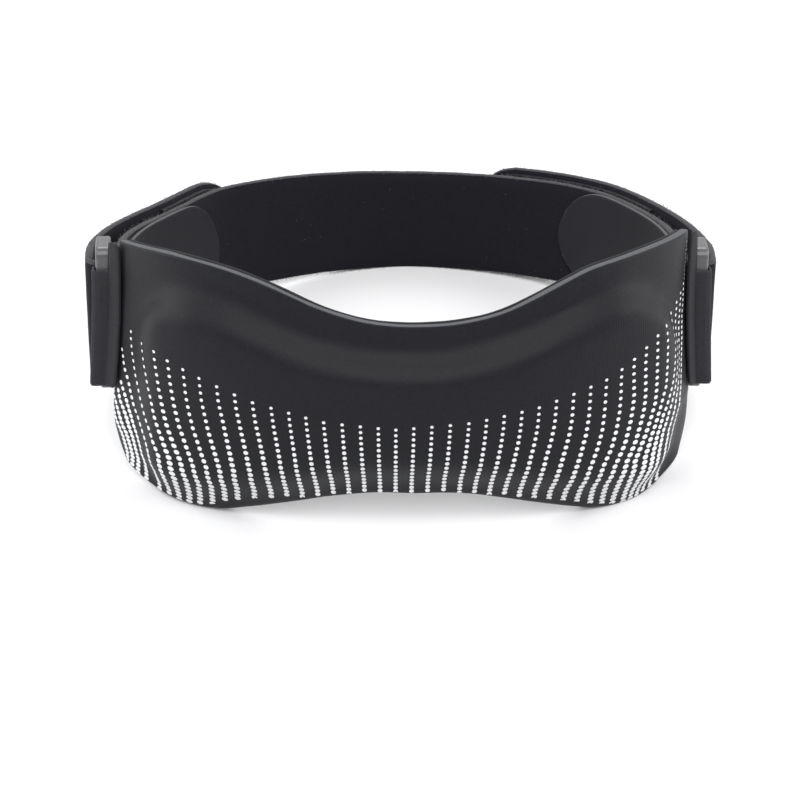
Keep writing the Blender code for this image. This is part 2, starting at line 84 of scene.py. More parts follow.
def level_points(node):
    """The node's points in the level frame."""
    return [TO_LEVEL @ vertex.co for vertex in nodes[node].data.vertices]


def angle_about(x, y):
    """Angle round the loop's middle, 0 at the front and positive to the right."""
    return math.atan2(x - LOOP_MIDDLE.x, LOOP_MIDDLE.y - y)


def plan_reach():
    """Distance of the loop from its middle in even steps of the angle, from the innermost pieces."""
    low, high = BAND_WIDTH * PLAN_LOW_SHARE, BAND_WIDTH * PLAN_HIGH_SHARE
    points = [p for node in ("inner_liner", "strap") for p in level_points(node) if low < p.z < high]
    nearest = np.full(PLAN_BANDS, np.inf)
    for p in points:
        index = int((angle_about(p.x, p.y) + math.pi) / (2 * math.pi) * PLAN_BANDS) % PLAN_BANDS
        nearest[index] = min(nearest[index], math.hypot(p.x - LOOP_MIDDLE.x, p.y - LOOP_MIDDLE.y))
    known = np.isfinite(nearest)
    steps = np.arange(PLAN_BANDS)
    nearest = np.interp(steps, steps[known], nearest[known], period=PLAN_BANDS)
    kernel = np.array(PLAN_KERNEL) / sum(PLAN_KERNEL)
    ends = len(PLAN_KERNEL) // 2
    return np.convolve(np.concatenate([nearest[-ends:], nearest, nearest[:ends]]), kernel, "valid")


PLAN_ANGLES = (np.arange(PLAN_BANDS) + 0.5) / PLAN_BANDS * 2 * math.pi - math.pi
PLAN_REACH = plan_reach()
PLAN_X = LOOP_MIDDLE.x + PLAN_REACH * np.sin(PLAN_ANGLES)
PLAN_Y = LOOP_MIDDLE.y - PLAN_REACH * np.cos(PLAN_ANGLES)
plan_steps = np.hypot(np.diff(PLAN_X), np.diff(PLAN_Y))
PLAN_ARCS = np.concatenate([[0.0], np.cumsum(plan_steps)])
PLAN_ARCS = PLAN_ARCS - np.interp(0.0, PLAN_ANGLES, PLAN_ARCS)
LOOP_LENGTH = PLAN_ARCS[-1] - PLAN_ARCS[0]


def arc_of(x, y):
    """Distance round the loop from the front centre."""
    return float(np.interp(angle_about(x, y), PLAN_ANGLES, PLAN_ARCS))


def plan_frame(arc):
    """Plan point at a distance round the loop, and the outward direction there."""
    reach = LOOP_LENGTH / PLAN_BANDS * PLAN_TANGENT_STEPS
    ends = [
        Vector((np.interp(a, PLAN_ARCS, PLAN_X), np.interp(a, PLAN_ARCS, PLAN_Y), 0.0))
        for a in (arc - reach, arc, arc + reach)
    ]
    travel = (ends[2] - ends[0]).normalized()
    return ends[1], Vector((travel.y, -travel.x, 0.0))


# Cloth in general.
# Each cloth piece starts as a finer, smooth copy of its solid in the frame, with its cut edges kept crisp,
# its rim faces in a slot of their own and a flat map of metres along and up the cloth.
CLOTH_LEVELS = 2
FLAT_ANGLE = 0.9
SHAPE_ANGLE = 1.2
EDGE_ANGLE = math.radians(40.0)
EDGE_CREASE = 0.8
RIM_FACING = 0.45
CLOTH_MAP = "cloth"
# Fine waves of handled cloth: their part and their number beside the broad ones, and where they fade out
FINE_WAVE_PART = 0.5
FINE_WAVE_RATE = 2.3
REST_FADE = 0.0015


def plain_mesh(obj, name):
    """The object's evaluated mesh as a new plain object at the origin."""
    depsgraph = bpy.context.evaluated_depsgraph_get()
    mesh = bpy.data.meshes.new_from_object(obj.evaluated_get(depsgraph))
    mesh.name = name
    bpy.data.objects.remove(obj, do_unlink=True)
    result = bpy.data.objects.new(name, mesh)
    bpy.context.scene.collection.objects.link(result)
    return result


def cloth_copy(node, name):
    """Fine copy of a cloth solid of the frame; faces of its cut edges get material slot 1."""
    build = bmesh.new()
    build.from_mesh(nodes[node].data)
    bmesh.ops.remove_doubles(build, verts=build.verts, dist=WELD)
    bmesh.ops.join_triangles(
        build, faces=build.faces, angle_face_threshold=FLAT_ANGLE, angle_shape_threshold=SHAPE_ANGLE,
    )
    crease = build.edges.layers.float.new("crease_edge")
    for edge in build.edges:
        if len(edge.link_faces) == 2 and edge.calc_face_angle() > EDGE_ANGLE:
            edge[crease] = EDGE_CREASE
    for face in build.faces:
        centre = TO_LEVEL @ face.calc_center_median()
        outward = plan_frame(arc_of(centre.x, centre.y))[1]
        facing = abs((TO_LEVEL.to_3x3() @ face.normal).dot(outward))
        face.material_index = 1 if facing < RIM_FACING else 0
        face.smooth = True
    mesh = bpy.data.meshes.new(name + "_base")
    build.to_mesh(mesh)
    build.free()
    mesh.uv_layers.new(name=CLOTH_MAP)
    base = bpy.data.objects.new(name + "_base", mesh)
    bpy.context.scene.collection.objects.link(base)
    smooth = base.modifiers.new("smooth", "SUBSURF")
    smooth.levels = CLOTH_LEVELS
    smooth.render_levels = CLOTH_LEVELS
    piece = plain_mesh(base, name)
    lay_map(piece)
    return piece


def lay_map(piece):
    """Write the cloth map: metres round the loop and metres up from the band's lower edge."""
    mesh = piece.data
    layer = mesh.uv_layers[CLOTH_MAP].data
    flat = [TO_LEVEL @ vertex.co for vertex in mesh.vertices]
    arcs = [arc_of(p.x, p.y) for p in flat]
    for face in mesh.polygons:
        first = arcs[face.vertices[0]]
        for loop in face.loop_indices:
            vertex = mesh.loops[loop].vertex_index
            arc = arcs[vertex]
            if arc - first > LOOP_LENGTH / 2:
                arc -= LOOP_LENGTH
            if first - arc > LOOP_LENGTH / 2:
                arc += LOOP_LENGTH
            layer[loop].uv = (arc, flat[vertex].z)


def soften(piece, depth, grain):
    """Small waves of handled cloth along the normals, fading where the cloth rests."""
    mesh = piece.data
    normals = [vertex.normal.copy() for vertex in mesh.vertices]
    for vertex, normal in zip(mesh.vertices, normals):
        wave = noise.noise(vertex.co / grain)
        wave += FINE_WAVE_PART * noise.noise(vertex.co / grain * FINE_WAVE_RATE)
        fade = min(1.0, max(0.0, vertex.co.z / REST_FADE))
        vertex.co += normal * depth * wave * fade
        vertex.co.z = max(vertex.co.z, 0.0)
    mesh.update()


# A wave texture of scale 1 has one rib in this length
RIB_PITCH = 0.314
SHEEN_ROUGHNESS = 0.45


class Finish:
    """Node tree of one finish, with a short way to add and join nodes."""

    def __init__(self, name, colour, roughness, sheen=0.0, shine=0.2):
        self.material = bpy.data.materials.new(name)
        self.material.use_nodes = True
        self.tree = self.material.node_tree
        self.shader = self.tree.nodes["Principled BSDF"]
        self.shader.inputs["Base Color"].default_value = (*colour, 1.0)
        self.shader.inputs["Roughness"].default_value = roughness
        self.shader.inputs["Specular IOR Level"].default_value = shine
        self.shader.inputs["Sheen Weight"].default_value = sheen
        self.shader.inputs["Sheen Roughness"].default_value = SHEEN_ROUGHNESS
        self.colour = colour
        self.height = None

    def add(self, kind, joins=(), **values):
        """A node; joins give (socket, output) pairs and values set its properties."""
        node = self.tree.nodes.new(kind)
        for key, value in values.items():
            setattr(node, key, value)
        for socket, source in joins:
            if hasattr(source, "is_output"):
                self.tree.links.new(source, node.inputs[socket])
            else:
                node.inputs[socket].default_value = source
        return node

    def place(self, on_cloth=True):
        """Coordinates in metres: along the cloth, or of the object."""
        if on_cloth:
            return self.add("ShaderNodeUVMap", uv_map=CLOTH_MAP).outputs["UV"]
        return self.add("ShaderNodeTexCoord").outputs["Object"]

    def grain(self, scale, detail=3.0, on_cloth=False):
        joins = (("Vector", self.place(on_cloth)), ("Scale", scale), ("Detail", detail))
        return self.add("ShaderNodeTexNoise", joins).outputs["Fac"]

    def weave(self, pitch_along, pitch_up):
        """Product of two sets of ribs across each other on the cloth map."""
        ribs = []
        for direction, pitch in (("X", pitch_along), ("Y", pitch_up)):
            joins = (("Vector", self.place()), ("Scale", RIB_PITCH / pitch), ("Distortion", 0.0))
            ribs.append(self.add("ShaderNodeTexWave", joins, bands_direction=direction).outputs["Fac"])
        return self.maths("MULTIPLY", ribs[0], ribs[1])

    def maths(self, operation, first, second=0.0):
        return self.add("ShaderNodeMath", ((0, first), (1, second)), operation=operation).outputs[0]

    def shade(self, factor, low, high):
        """Colour between two multiples of the finish's own, by a factor."""
        ends = [(*[c * k for c in self.colour], 1.0) for k in (low, high)]
        joins = (("Factor", factor), ("A", ends[0]), ("B", ends[1]))
        mix = self.add("ShaderNodeMix", data_type="RGBA")
        for name, value in joins:
            sockets = [s for s in mix.inputs if s.name == name and (name == "Factor" or s.type == "RGBA")]
            if hasattr(value, "is_output"):
                self.tree.links.new(value, sockets[0])
            else:
                sockets[0].default_value = value
        output = [s for s in mix.outputs if s.type == "RGBA"][0]
        self.tree.links.new(output, self.shader.inputs["Base Color"])

    def bump(self, height, distance, strength=1.0):
        joins = [("Height", height), ("Distance", distance), ("Strength", strength)]
        if self.height is not None:
            joins.append(("Normal", self.height))
        self.height = self.add("ShaderNodeBump", joins).outputs["Normal"]
        self.tree.links.new(self.height, self.shader.inputs["Normal"])


# Front pad.
# A foam cushion moulded between a thin lining and a bluish black knit, then cut to shape.
# The cut edge shows as a light grey line; the knit has a fine, slightly speckled grain.
PAD_COLOUR = (0.0068, 0.0070, 0.0098)
PAD_EDGE_COLOUR = (0.090, 0.092, 0.100)
KNIT_PITCH = 0.00060
KNIT_RISE = 0.00045
PAD_WAVE = 0.00022
PAD_WAVE_GRAIN = 0.016
knit = Finish("pad_knit", PAD_COLOUR, roughness=0.50, sheen=0.02, shine=0.20)
knit.shade(knit.grain(1700.0, detail=6.0), low=0.45, high=1.6)
knit.bump(knit.weave(KNIT_PITCH, KNIT_RISE), 0.00004, strength=0.7)
knit.bump(knit.grain(2600.0, detail=2.0), 0.00003, strength=0.6)
pad_edge = Finish("pad_cut_edge", PAD_EDGE_COLOUR, roughness=0.8)
pad_edge.shade(pad_edge.grain(3000.0), low=0.75, high=1.2)
pad_edge.bump(pad_edge.grain(4000.0), 0.00006)
# Fullness of the cushion's sides: height, how far the outer face stands out on the left and on the right
SIDE_TABLE = (
    (-0.0270, -0.0004, -0.0008),
    (-0.0220, -0.0010, -0.0013),
    (-0.0170, -0.0007, -0.0010),
    (-0.0120, 0.0003, 0.0000),
    (-0.0070, 0.0015, 0.0008),
    (-0.0010, 0.0025, 0.0020),
    (0.0080, 0.0015, 0.0012),
    (0.0200, 0.0004, 0.0003),
    (0.0300, 0.0000, 0.0000),
)
SIDE_START = 0.0560
SIDE_FULL = 0.0740
PAD_END_LEFT = -0.0750
PAD_END_RIGHT = 0.0806
SIDE_FADE = 0.0035


def fill_side(piece, both_faces=False):
    """Move a piece's outer face at the pad's sides out or in, as the side table says."""
    heights = [row[0] for row in SIDE_TABLE]
    turn = TO_ROW.to_3x3()
    normals = [TO_LEVEL.to_3x3() @ vertex.normal for vertex in piece.data.vertices]
    for vertex, normal in zip(piece.data.vertices, normals):
        p = TO_LEVEL @ vertex.co
        arc = arc_of(p.x, p.y)
        outward = plan_frame(arc)[1]
        facing = normal.dot(outward)
        reach = min(1.0, max(0.0, (abs(arc) - SIDE_START) / (SIDE_FULL - SIDE_START)))
        beyond = max(arc - PAD_END_RIGHT, PAD_END_LEFT - arc)
        reach *= min(1.0, max(0.0, 1.0 - beyond / SIDE_FADE))
        if reach == 0.0 or (facing < -RIM_FACING and not both_faces):
            continue
        push = float(np.interp(p.z, heights, [row[2 if arc > 0 else 1] for row in SIDE_TABLE]))
        vertex.co += turn @ outward * push * reach * reach * (3.0 - 2.0 * reach)
    piece.data.update()


shell = cloth_copy("front_pad", "pad_shell")
shell.data.materials.append(knit.material)
shell.data.materials.append(pad_edge.material)
fill_side(shell)
soften(shell, PAD_WAVE, PAD_WAVE_GRAIN)
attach(shell, "root")
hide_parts("front_pad")

# End strips and their seams.
# A flat woven strip laps over each end of the pad, goes round the loop's front bar and is sewn down.
STRIP_COLOUR = (0.022, 0.022, 0.026)
STRIP_EDGE_COLOUR = (0.060, 0.060, 0.064)
STRIP_EDGE_FACING = 0.6
STRIP_PITCH = 0.0005
STRIP_RISE = 0.0004
strip_finish = Finish("end_strip", STRIP_COLOUR, roughness=0.7, sheen=0.05)
strip_finish.shade(strip_finish.grain(1400.0, detail=4.0), low=0.75, high=1.25)
strip_finish.bump(strip_finish.weave(STRIP_PITCH, STRIP_RISE), 0.00007)
strip_edge = Finish("end_strip_edge", STRIP_EDGE_COLOUR, roughness=0.85)
strip_edge.bump(strip_edge.grain(4000.0), 0.00008)
strips = {}
for word in ("left", "right"):
    strip = cloth_copy("ring_tab_" + word, "end_strip_" + word)
    fill_side(strip, both_faces=True)
    for face in strip.data.polygons:
        face.material_index = 1 if abs((TO_LEVEL.to_3x3() @ face.normal).z) > STRIP_EDGE_FACING else 0
    strips[word] = strip
    strip.data.materials.append(strip_finish.material)
    strip.data.materials.append(strip_edge.material)
    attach(strip, "root")
    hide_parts("ring_tab_" + word)

# Printed dots.
# White halftone dots screen-printed on the knit in columns. Each column starts under the cushion's ridge
# and runs down to the hem; the dots grow on the way and the columns draw together towards the lobes.
# Columns: index from the centre, height of the top dot, spacing of the dots at the top and at the bottom
COLUMNS_LEFT = (
    (0, 0.0040, 0.00142, 0.00124),
    (4, 0.0054, 0.00148, 0.00126),
    (8, 0.0091, 0.00165, 0.00128),
    (12, 0.0148, 0.00195, 0.00130),
    (14, 0.0174, 0.00195, 0.00130),
    (16, 0.0176, 0.00175, 0.00130),
    (17, 0.0182, 0.00165, 0.00120),
    (18, 0.0220, 0.00140, 0.00108),
    (21, 0.0240, 0.00125, 0.00105),
)
COLUMNS_RIGHT = (
    (0, 0.0040, 0.00142, 0.00124),
    (4, 0.0055, 0.00148, 0.00126),
    (8, 0.0085, 0.00165, 0.00128),
    (12, 0.0133, 0.00190, 0.00130),
    (14, 0.0172, 0.00190, 0.00130),
    (16, 0.0216, 0.00185, 0.00130),
    (17, 0.0230, 0.00180, 0.00130),
    (18, 0.0232, 0.00165, 0.00115),
    (21, 0.0280, 0.00140, 0.00105),
)
# Paths of the columns: index, then the distance from the centre at each path height
PATH_HEIGHTS = (0.0240, 0.0160, 0.0080, 0.0040, 0.0000, -0.0050, -0.0100, -0.0160, -0.0210, -0.0260)
PATHS_LEFT = (
    (0, 0.0009, 0.0009, 0.0009, 0.0009, 0.0009, 0.0009, 0.0009, 0.0009, 0.0009, 0.0009),
    (4, 0.0171, 0.0171, 0.0169, 0.0167, 0.0164, 0.0160, 0.0157, 0.0157, 0.0161, 0.0166),
    (8, 0.0329, 0.0329, 0.0326, 0.0322, 0.0316, 0.0309, 0.0304, 0.0305, 0.0313, 0.0321),
    (10, 0.0406, 0.0406, 0.0402, 0.0395, 0.0389, 0.0382, 0.0377, 0.0382, 0.0396, 0.0408),
    (12, 0.0488, 0.0488, 0.0484, 0.0478, 0.0470, 0.0455, 0.0442, 0.0443, 0.0459, 0.0475),
    (13, 0.0525, 0.0525, 0.0519, 0.0514, 0.0507, 0.0492, 0.0478, 0.0475, 0.0491, 0.0508),
    (14, 0.0559, 0.0558, 0.0550, 0.0544, 0.0538, 0.0524, 0.0509, 0.0505, 0.0518, 0.0536),
    (15, 0.0611, 0.0608, 0.0588, 0.0576, 0.0567, 0.0549, 0.0535, 0.0533, 0.0546, 0.0562),
    (16, 0.0684, 0.0680, 0.0658, 0.0638, 0.0616, 0.0585, 0.0562, 0.0562, 0.0574, 0.0590),
    (17, 0.0732, 0.0729, 0.0706, 0.0684, 0.0668, 0.0638, 0.0606, 0.0595, 0.0606, 0.0620),
    (18, 0.0770, 0.0760, 0.0740, 0.0719, 0.0692, 0.0676, 0.0657, 0.0644, 0.0652, 0.0664),
    (19, 0.0790, 0.0785, 0.0765, 0.0745, 0.0718, 0.0694, 0.0681, 0.0672, 0.0680, 0.0690),
    (20, 0.0800, 0.0800, 0.0785, 0.0770, 0.0745, 0.0718, 0.0700, 0.0692, 0.0699, 0.0709),
    (21, 0.0810, 0.0810, 0.0800, 0.0790, 0.0770, 0.0740, 0.0718, 0.0710, 0.0716, 0.0726),
)
PATHS_RIGHT = (
    (0, -0.0009, -0.0009, -0.0009, -0.0009, -0.0009, -0.0009, -0.0009, -0.0009, -0.0009, -0.0009),
    (4, 0.0153, 0.0153, 0.0153, 0.0152, 0.0150, 0.0146, 0.0142, 0.0143, 0.0145, 0.0148),
    (9, 0.0347, 0.0347, 0.0346, 0.0345, 0.0340, 0.0330, 0.0323, 0.0323, 0.0330, 0.0337),
    (11, 0.0423, 0.0423, 0.0423, 0.0422, 0.0418, 0.0409, 0.0400, 0.0397, 0.0402, 0.0410),
    (12, 0.0461, 0.0461, 0.0461, 0.0460, 0.0457, 0.0447, 0.0434, 0.0430, 0.0438, 0.0448),
    (13, 0.0498, 0.0498, 0.0500, 0.0499, 0.0495, 0.0485, 0.0468, 0.0462, 0.0473, 0.0486),
    (14, 0.0527, 0.0527, 0.0532, 0.0531, 0.0527, 0.0518, 0.0501, 0.0493, 0.0504, 0.0516),
    (15, 0.0554, 0.0555, 0.0560, 0.0560, 0.0554, 0.0544, 0.0528, 0.0524, 0.0533, 0.0545),
    (16, 0.0582, 0.0585, 0.0589, 0.0588, 0.0578, 0.0564, 0.0549, 0.0550, 0.0562, 0.0575),
    (17, 0.0614, 0.0619, 0.0620, 0.0609, 0.0598, 0.0583, 0.0573, 0.0574, 0.0583, 0.0595),
    (18, 0.0684, 0.0668, 0.0653, 0.0636, 0.0616, 0.0601, 0.0593, 0.0594, 0.0603, 0.0615),
    (19, 0.0715, 0.0700, 0.0678, 0.0660, 0.0638, 0.0620, 0.0613, 0.0615, 0.0625, 0.0635),
    (20, 0.0738, 0.0725, 0.0705, 0.0688, 0.0668, 0.0648, 0.0642, 0.0645, 0.0652, 0.0660),
    (21, 0.0760, 0.0750, 0.0734, 0.0720, 0.0702, 0.0684, 0.0673, 0.0673, 0.0680, 0.0690),
)
# No dot is wider than its share of the gap between columns
DOT_CROWDING = 0.37
DOT_CENTRE_ROOM = 3.0
DOT_TOP_RADIUS = 0.00038
DOT_BOTTOM_RADIUS = 0.00082
DOT_CENTRE_WIDTH = 0.84
DOT_LOBE_WIDTH = 1.06
DOT_LOBE_INDEX = 13.0
DOT_SIDES = 12
DOT_DROP = 0.0285
DOT_CUT = 0.2
# White seam down to the topmost dot beside the right end strip
SEAM_ARC = 0.0768
SEAM_TOP = 0.0385
SEAM_PITCH = 0.00105
SEAM_STITCHES = 10
SEAM_HALF_WIDTH = 0.00016
SEAM_HALF_LENGTH = 0.00038
DOT_LIFT = 0.00004
DOT_LAP = 0.00002
DOT_LAYERS = 3
INK_COLOUR = (0.78, 0.78, 0.79)
ink = Finish("dot_ink", INK_COLOUR, roughness=0.55)
ink.shade(ink.grain(5200.0, detail=2.0), low=0.82, high=1.0)
ink.bump(ink.grain(6000.0, detail=2.0), 0.00002)
DOT_STEP_LIMIT = 0.0007
face_points = []
face_corners = []
for piece in (shell, strips["left"], strips["right"]):
    start = len(face_points)
    face_points += [TO_LEVEL @ vertex.co for vertex in piece.data.vertices]
    face_corners += [tuple(start + k for k in face.vertices) for face in piece.data.polygons]
face_tree = BVHTree.FromPolygons(face_points, face_corners)
SHELL_FACES = len(shell.data.polygons)
RAY_START = 0.0300
RAY_REACH = 0.0285


def on_shell(arc, z, faces):
    """Point and normal of the outer face at a distance round the loop and a height, from the first faces."""
    point, outward = plan_frame(arc)
    start = point + outward * RAY_START + Vector((0.0, 0.0, z))
    hit, normal, face, distance = face_tree.ray_cast(start, -outward, RAY_REACH)
    if hit is None or face >= faces:
        return None
    return hit, normal, distance


dot_points = []
dot_faces = []


def add_dot(arc, z, half_along, half_up, faces=SHELL_FACES):
    """One thin oval laid on the pad's outer face."""
    middle = on_shell(arc, z, faces)
    if middle is None:
        return
    ring = [middle]
    for side in range(DOT_SIDES):
        angle = 2 * math.pi * side / DOT_SIDES
        along, up = half_along * math.cos(angle), half_up * math.sin(angle)
        found = on_shell(arc + along, z + up, faces)
        if found is None or abs(found[2] - middle[2]) > DOT_STEP_LIMIT:
            found = on_shell(arc + along * DOT_CUT, z + up * DOT_CUT, faces)
        if found is None or abs(found[2] - middle[2]) > DOT_STEP_LIMIT:
            return
        ring.append(found)
    first = len(dot_points)
    lift = DOT_LIFT + DOT_LAP * (first // (DOT_SIDES + 1) % DOT_LAYERS)
    for hit, normal, _ in ring:
        dot_points.append(TO_ROW @ (hit + normal * lift))
    for side in range(DOT_SIDES):
        dot_faces.append((first, first + 1 + side, first + 1 + (side + 1) % DOT_SIDES))


def path_at(paths, index, z):
    """Distance from the centre of a column's path at a height."""
    across = [np.interp(index, paths[:, 0], paths[:, k + 1]) for k in range(len(PATH_HEIGHTS))]
    return float(np.interp(z, PATH_HEIGHTS[::-1], across[::-1]))


for side, table, path_table in ((-1, COLUMNS_LEFT, PATHS_LEFT), (1, COLUMNS_RIGHT, PATHS_RIGHT)):
    columns = np.array(table)
    paths = np.array(path_table)
    for index in range(0 if side > 0 else 1, int(columns[-1, 0]) + 1):
        top, step_top, step_low = [float(np.interp(index, columns[:, 0], columns[:, k])) for k in range(1, 4)]
        wide = DOT_CENTRE_WIDTH + (DOT_LOBE_WIDTH - DOT_CENTRE_WIDTH) * min(1.0, index / DOT_LOBE_INDEX)
        z = top
        while z > -DOT_DROP:
            fall = min(1.0, (top - z) / (top + DOT_DROP))
            radius = DOT_TOP_RADIUS + (DOT_BOTTOM_RADIUS - DOT_TOP_RADIUS) * fall
            reach = path_at(paths, index, z)
            room = reach - path_at(paths, index - 1, z) if index > 1 else radius * DOT_CENTRE_ROOM
            half = min(radius * (1.0 + (wide - 1.0) * fall), room * DOT_CROWDING)
            step = step_top + (step_low - step_top) * fall
            add_dot(side * reach, z, half, min(radius, step / 2))
            z -= step
for step in range(SEAM_STITCHES):
    add_dot(SEAM_ARC, SEAM_TOP - step * SEAM_PITCH, SEAM_HALF_WIDTH, SEAM_HALF_LENGTH, len(face_corners))
dots_mesh = bpy.data.meshes.new("printed_dots")
dots_mesh.from_pydata(dot_points, [], dot_faces)
dots_mesh.shade_smooth()
dots_mesh.materials.append(ink.material)
dots = bpy.data.objects.new("printed_dots", dots_mesh)
bpy.context.scene.collection.objects.link(dots)
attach(dots, "root")

# Lining.
# A smooth dark tricot bonded behind the cushion, which runs on past each loop as a rounded tongue.
# Its cut edge is dark in the scoop and shows as a thin light line round the tongues.
LINING_COLOUR = (0.0105, 0.0105, 0.0140)
LINING_EDGE_COLOUR = (0.020, 0.020, 0.022)
TONGUE_EDGE_COLOUR = (0.090, 0.090, 0.096)
TONGUE_START = 0.0790
TRICOT_PITCH = 0.00042
LINING_WAVE = 0.00010
LINING_WAVE_GRAIN = 0.012
lining_finish = Finish("lining", LINING_COLOUR, roughness=0.6, sheen=0.04)
lining_finish.shade(lining_finish.grain(700.0, detail=4.0), low=0.85, high=1.2)
lining_finish.bump(lining_finish.weave(TRICOT_PITCH, TRICOT_PITCH), 0.00003, strength=0.6)
lining_edge = Finish("lining_edge", LINING_EDGE_COLOUR, roughness=0.8)
lining_edge.bump(lining_edge.grain(4000.0), 0.00005)
tongue_edge = Finish("tongue_edge", TONGUE_EDGE_COLOUR, roughness=0.8)
tongue_edge.shade(tongue_edge.grain(2500.0), low=0.7, high=1.2)
tongue_edge.bump(tongue_edge.grain(4000.0), 0.00005)
lining = cloth_copy("inner_liner", "lining")
for part in (lining_finish, lining_edge, tongue_edge):
    lining.data.materials.append(part.material)
for face in lining.data.polygons:
    centre = TO_LEVEL @ face.center
    if face.material_index == 1 and abs(arc_of(centre.x, centre.y)) > TONGUE_START:
        face.material_index = 2
soften(lining, LINING_WAVE, LINING_WAVE_GRAIN)
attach(lining, "root")
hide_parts("inner_liner")

# Band.
# One elastic tape with a brushed loop pile on both faces, passed through the plastic loops and folded back.
# The pile is combed up from the faces and stands out as lint along the edges.
BAND_COLOUR = (0.0090, 0.0090, 0.0125)
PILE_COLOUR = (0.085, 0.085, 0.092)
PILE_EDGE_COLOUR = (0.060, 0.060, 0.066)
PILE_RADIUS = 0.000038
PILE_LENGTH = 0.00095
PILE_ON_FACES = 9000.0
PILE_ON_EDGES = 2400000.0
PILE_SEED = 7
BAND_WAVE = 0.00012
BAND_WAVE_GRAIN = 0.009
band_finish = Finish("band_pile", BAND_COLOUR, roughness=0.92, sheen=0.07, shine=0.12)
band_finish.shade(band_finish.grain(1500.0, detail=5.0), low=0.7, high=1.35)
band_finish.bump(band_finish.grain(2400.0, detail=4.0), 0.00012)
band_edge = Finish("band_edge", PILE_EDGE_COLOUR, roughness=0.95, sheen=0.1)
band_edge.shade(band_edge.grain(2600.0, detail=4.0), low=0.25, high=1.5)
band_edge.bump(band_edge.grain(3000.0, detail=4.0), 0.00015)
fibre_finish = Finish("fibre", PILE_COLOUR, roughness=0.95, sheen=0.3)
fibre_finish.shade(fibre_finish.grain(300.0), low=0.7, high=1.3)
band = cloth_copy("strap", "band")
band.data.materials.append(band_finish.material)
band.data.materials.append(band_edge.material)
soften(band, BAND_WAVE, BAND_WAVE_GRAIN)
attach(band, "root")
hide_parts("strap")
mask = band.data.attributes.new("lint", "FLOAT", "FACE")
for face in band.data.polygons:
    mask.data[face.index].value = PILE_ON_EDGES if face.material_index == 1 else PILE_ON_FACES


# One fibre: its path from root to tip as shares of its length, its sides, its lean and its shortest share
FIBRE_PATH = ((0.0, 0.0, -0.15), (0.0, 0.0, 0.7), (0.8, 0.0, 0.75))
FIBRE_STEPS = 3
FIBRE_SIDES = 3
FIBRE_LEAN = 0.9
FIBRE_SHORTEST = 0.45


def pile_tree(name, material):
    """Node tree that grows short bent fibres on a mesh, as thick as its lint mask says."""
    tree = bpy.data.node_groups.new(name, "GeometryNodeTree")
    interface = tree.interface
    interface.new_socket("Geometry", in_out="INPUT", socket_type="NodeSocketGeometry")
    interface.new_socket("Length", in_out="INPUT", socket_type="NodeSocketFloat")
    interface.new_socket("Radius", in_out="INPUT", socket_type="NodeSocketFloat")
    interface.new_socket("Seed", in_out="INPUT", socket_type="NodeSocketInt")
    interface.new_socket("Geometry", in_out="OUTPUT", socket_type="NodeSocketGeometry")
    add = tree.nodes.new
    join = tree.links.new
    source = add("NodeGroupInput")
    target = add("NodeGroupOutput")
    lint = add("GeometryNodeInputNamedAttribute")
    lint.data_type = "FLOAT"
    lint.inputs["Name"].default_value = "lint"
    scatter = add("GeometryNodeDistributePointsOnFaces")
    join(source.outputs["Geometry"], scatter.inputs["Mesh"])
    join(lint.outputs["Attribute"], scatter.inputs["Density"])
    join(source.outputs["Seed"], scatter.inputs["Seed"])
    fibre = add("GeometryNodeCurveQuadraticBezier")
    fibre.inputs["Resolution"].default_value = FIBRE_STEPS
    for socket, point in zip(("Start", "Middle", "End"), FIBRE_PATH):
        fibre.inputs[socket].default_value = point
    profile = add("GeometryNodeCurvePrimitiveCircle")
    profile.inputs["Resolution"].default_value = FIBRE_SIDES
    ratio = add("ShaderNodeMath")
    ratio.operation = "DIVIDE"
    join(source.outputs["Radius"], ratio.inputs[0])
    join(source.outputs["Length"], ratio.inputs[1])
    join(ratio.outputs[0], profile.inputs["Radius"])
    tube = add("GeometryNodeCurveToMesh")
    join(fibre.outputs["Curve"], tube.inputs["Curve"])
    join(profile.outputs["Curve"], tube.inputs["Profile Curve"])
    lean = add("FunctionNodeRandomValue")
    lean.data_type = "FLOAT_VECTOR"
    lean.inputs["Min"].default_value = (-FIBRE_LEAN, -FIBRE_LEAN, -math.pi)
    lean.inputs["Max"].default_value = (FIBRE_LEAN, FIBRE_LEAN, math.pi)
    turn = add("FunctionNodeRotateRotation")
    turn.rotation_space = "LOCAL"
    join(scatter.outputs["Rotation"], turn.inputs["Rotation"])
    euler = add("FunctionNodeEulerToRotation")
    join(lean.outputs["Value"], euler.inputs["Euler"])
    join(euler.outputs["Rotation"], turn.inputs["Rotate By"])
    size = add("FunctionNodeRandomValue")
    size.data_type = "FLOAT"
    size_sockets = [s for s in size.inputs if s.type == "VALUE"]
    size_sockets[0].default_value = FIBRE_SHORTEST
    size_sockets[1].default_value = 1.0
    scaled = add("ShaderNodeMath")
    scaled.operation = "MULTIPLY"
    join([s for s in size.outputs if s.type == "VALUE"][0], scaled.inputs[0])
    join(source.outputs["Length"], scaled.inputs[1])
    plant = add("GeometryNodeInstanceOnPoints")
    join(scatter.outputs["Points"], plant.inputs["Points"])
    join(tube.outputs["Mesh"], plant.inputs["Instance"])
    join(turn.outputs["Rotation"], plant.inputs["Rotation"])
    join(scaled.outputs[0], plant.inputs["Scale"])
    real = add("GeometryNodeRealizeInstances")
    join(plant.outputs["Instances"], real.inputs["Geometry"])
    paint = add("GeometryNodeSetMaterial")
    paint.inputs["Material"].default_value = material
    join(real.outputs["Geometry"], paint.inputs["Geometry"])
    join(paint.outputs["Geometry"], target.inputs["Geometry"])
    return tree


